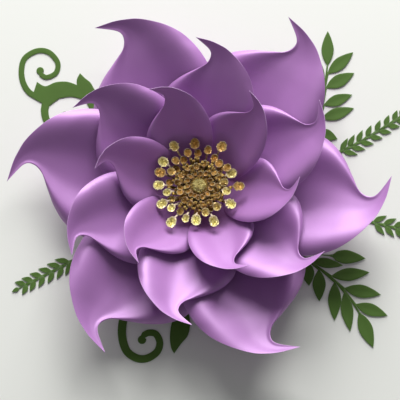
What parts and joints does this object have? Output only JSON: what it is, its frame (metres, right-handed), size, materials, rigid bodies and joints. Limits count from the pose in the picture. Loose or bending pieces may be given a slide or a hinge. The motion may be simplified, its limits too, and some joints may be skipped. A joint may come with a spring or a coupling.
{
  "type": "giant paper flower",
  "caption": "Large wall flower of cut and curled card: rings of hooked petals, a gold fringed centre and flat green sprays behind.",
  "frame": {"origin": "centre of the rear face of the round backing disc, which is also the lowest face as the flower lies on its back", "axes": "+Z out of the flower's face, +Y up and +X to the right as the flower hangs on a wall and is looked at"},
  "size_m": [0.5494, 0.4397, 0.0943],
  "materials": {
    "petal_card": "lilac card with a soft satin sheen",
    "glitter_card": "gold glitter card",
    "leaf_card": "matte leaf green card",
    "backing_card": "plain matte lilac card"
  },
  "bodies": {
    "root": {"back_disc": "backing_card", "outer_petal_1": "petal_card", "outer_petal_2": "petal_card", "outer_petal_3": "petal_card", "outer_petal_4": "petal_card", "outer_petal_5": "petal_card", "outer_petal_6": "petal_card", "middle_petal_1": "petal_card", "middle_petal_2": "petal_card", "middle_petal_3": "petal_card", "middle_petal_4": "petal_card", "middle_petal_5": "petal_card", "middle_petal_6": "petal_card", "inner_petal_1": "petal_card", "inner_petal_2": "petal_card", "inner_petal_3": "petal_card", "inner_petal_4": "petal_card", "inner_petal_5": "petal_card", "inner_petal_6": "petal_card", "stamen_fringe_1": "glitter_card", "stamen_fringe_2": "glitter_card", "stamen_fringe_3": "glitter_card", "stamen_fringe_4": "glitter_card", "centre_button": "glitter_card", "top_spray": "leaf_card", "low_spray": "leaf_card", "upper_right_fern": "leaf_card", "right_fern": "leaf_card", "left_fern": "leaf_card", "upper_flourish": "leaf_card", "bottom_scroll": "leaf_card", "bottom_leaf": "leaf_card"}
  },
  "joints": []
}
